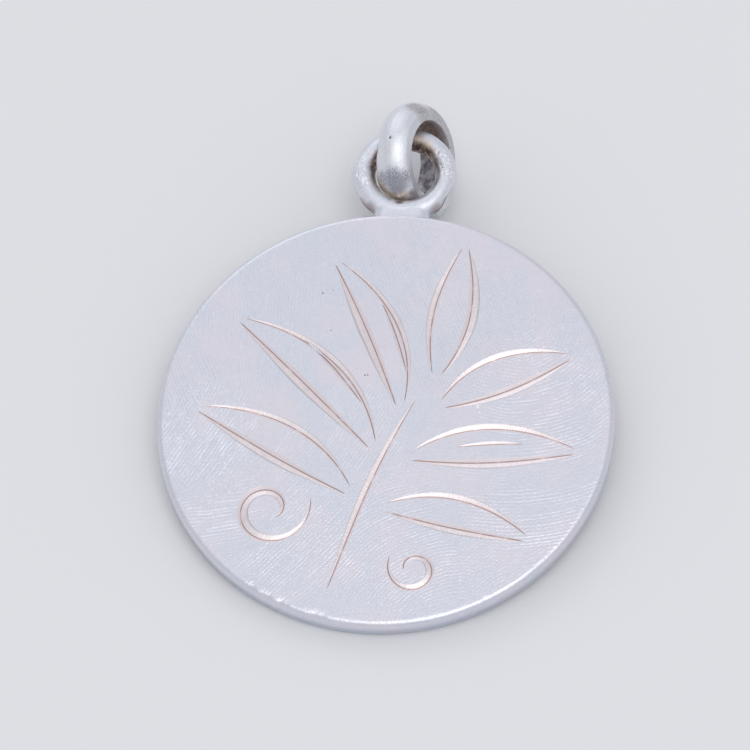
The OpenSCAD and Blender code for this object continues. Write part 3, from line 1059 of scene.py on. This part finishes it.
# %% Tarnish, painted shade, painted light and painted reflection of the ring
# Columns: place, reach, strength
smoky_blots = [
    ((-0.42, 11.62, 1.45), 0.5, 0.85), ((0.06, 11.62, 1.4), 0.4, 0.8), ((-0.86, 11.6, 1.22), 0.4, 0.75)]
cream_tarnish_and_light = [
    ((-1.15, 11.85, 1.0), 0.32, 0.75), ((-1.02, 11.5, 0.8), 0.34, 0.9),
    ((-0.85, 11.27, 0.6), 0.34, 0.95), ((-0.55, 11.08, 0.55), 0.34, 0.95),
    ((-0.2, 10.97, 0.62), 0.3, 0.95), ((0.12, 11.03, 0.74), 0.26, 0.8)]
gold_specks = [((-0.9, 11.3, 0.65), 0.4, 0.8), ((-0.3, 11.0, 0.62), 0.4, 0.9)]
dark_reflection_blots = [
    ((0.72, 14.71, 1.43), 0.6, 0.9), ((0.3, 15.0, 1.6), 0.5, 0.7), ((1.3, 15.0, 0.5), 0.9, 0.95),
    ((1.75, 14.9, -0.4), 0.9, 0.95), ((1.9, 14.4, -1.0), 0.8, 0.9), ((0.4, 11.2, 0.75), 0.2, 0.8)]
ring_pits = [((-0.66, 13.14, 2.22), 0.075, 0.95), ((-1.09, 12.82, 1.88), 0.08, 0.8)]
torn = ragged(flat, 0.2, 0.14)
_, _, height = split(flat)
grit = speckle(flat, 0.06, 2.0, 6.0)
smoke = blots(torn, smoky_blots) * grit.rise(0.25, 0.65)
smoke = smoke.math("MAXIMUM", smoke, patch(torn, (-0.3, 11.4, 1.25), 0.6) * (grit * 0.7 + 0.3))
dirt = speckle(flat, 0.14, 3.0, 4.0)
in_hole = from_axis.rise(ring_r + 0.07, ring_r + 0.02)
open_side_painted_shade = across_band.rise(ring_w / 2 - 0.09, ring_w / 2 - 0.02)
shut_side_tarnish_and_shade = across_band.rise(-ring_w / 2 + 0.12, -ring_w / 2 + 0.02)
flank = across_band.rise(-0.4, 0.3)
deep = height.rise(-0.9, -1.3)
worn_edge = across_band.rise(ring_w / 2 - 0.42, ring_w / 2 - 0.05)
wall_brown = tint((0.19, 0.14, 0.12), (0.42, 0.33, 0.29), dirt.rise(0.25, 0.75))
wall_brown = tint(wall_brown, (0.72, 0.68, 0.68), worn_edge * (dirt * 0.8 + 0.4))
wall_grey = tint((0.14, 0.12, 0.13), (0.55, 0.53, 0.58), speckle(flat, 0.42, 3.0, 16.0).rise(0.3, 0.7))
painted_dark_reflection = tint((0.25, 0.22, 0.22), (0.68, 0.65, 0.68), grit.rise(0.32, 0.68))
# Partly warm tarnish and partly painted light: a pale cream lifts the shaded lower edge of the band by the
# eye.
colour = tint(silver, (1.0, 0.9, 0.79), blots(torn, cream_tarnish_and_light) * 0.85)
colour = tint(colour, (0.98, 0.78, 0.5), blots(flat, gold_specks) * grit.rise(0.5, 0.62))
# Painted reflection: a speckled dark grey-brown on the outer flank, mostly at the top and right of the
# ring.
colour = tint(colour, painted_dark_reflection, blots(flat, dark_reflection_blots) * flank)
colour = tint(colour, (0.2, 0.21, 0.25), smoke)
# Painted shade: the flat side face by the crisp edge is tinted grey.
colour = tint(colour, (0.66, 0.66, 0.7), open_side_painted_shade * 0.5)
# A dark brown line along the edge away from the crisp one: partly tarnish, and partly a painted dark
# outline of shade.
colour = tint(colour, (0.3, 0.24, 0.2), shut_side_tarnish_and_shade * 0.7)
colour = tint(colour, tint(wall_brown, wall_grey, deep), in_hole)
colour = tint(colour, (0.1, 0.08, 0.07), blots(flat, ring_pits))
relief = lines * 1.2 + fine * 2.6 - smoke * fine * 2 - blots(flat, ring_pits) * 2
rough = 0.45 + smoke * 0.12 + in_hole * 0.12
fill(shader, Base_Color=colour, Metallic=1.0, Roughness=rough, Normal=bumped(relief))
print("blots on the ring:", len(smoky_blots) + len(cream_tarnish_and_light) + len(gold_specks) + len(dark_reflection_blots))

# %% [markdown]
# ## Floor and light
#
# The floor is plain and pale. Silver shows what is round it, so the lights are large and soft:
# one bright cloth nearly overhead, a cooler one behind, and a low even sky for everything else.

# %% Lay the floor and hang the lights
floor_half = 0.7
corners = [(floor_half * x, floor_half * y, 0) for x, y in ((-1, -1), (1, -1), (1, 1), (-1, 1))]
floor_data = bpy.data.meshes.new("floor")
floor_data.from_pydata(corners, [], [(0, 1, 2, 3)])
floor = add_piece("floor", floor_data)
floor_paint = bpy.data.materials.new("pale_floor")
floor_paint.use_nodes = True
fill(floor_paint.node_tree.nodes["Principled BSDF"], Base_Color=(0.84, 0.84, 0.85), Roughness=0.7)
floor_data.materials.append(floor_paint)

# Columns: name, way to it from the pendant, distance, width, brightness, colour
cloths = [
    ("overhead", (0.15, -0.3, 0.94), 0.45, 0.34, 1.6, (1.0, 0.98, 0.97)),
    ("behind", (-0.3, 0.75, 0.6), 0.5, 0.3, 0.9, (0.93, 0.96, 1.0))]
for name, way, far, width, brightness, hue in cloths:
    light = bpy.data.lights.new(name, "AREA")
    light.shape, light.size, light.color = "DISK", width, hue
    light.energy = brightness * math.pi * math.pi * (width / 2) ** 2
    lamp = bpy.data.objects.new(name, light)
    direction = Vector(way).normalized()
    lamp.location = direction * far
    lamp.rotation_mode = "QUATERNION"
    lamp.rotation_quaternion = direction.to_track_quat("Z", "Y")
    bpy.context.scene.collection.objects.link(lamp)

sky = bpy.data.worlds.new("sky")
sky.use_nodes = True
sky.node_tree.nodes["Background"].inputs["Color"].default_value = (0.93, 0.95, 1.0, 1.0)
sky.node_tree.nodes["Background"].inputs["Strength"].default_value = 0.68
bpy.context.scene.world = sky
bpy.context.scene.view_settings.view_transform = "Standard"
print("lights:", len(cloths))

# %% [markdown]
# ## Handing the pieces over
#
# Each piece stands for one solid of the fixed model and moves with its only body.

# %% Name what each piece stands for
for piece, node, slot in ((disc, "disc", "satin_silver"), (ring, "jump_ring", "worn_silver")):
    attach(piece, "root")
    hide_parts(node)
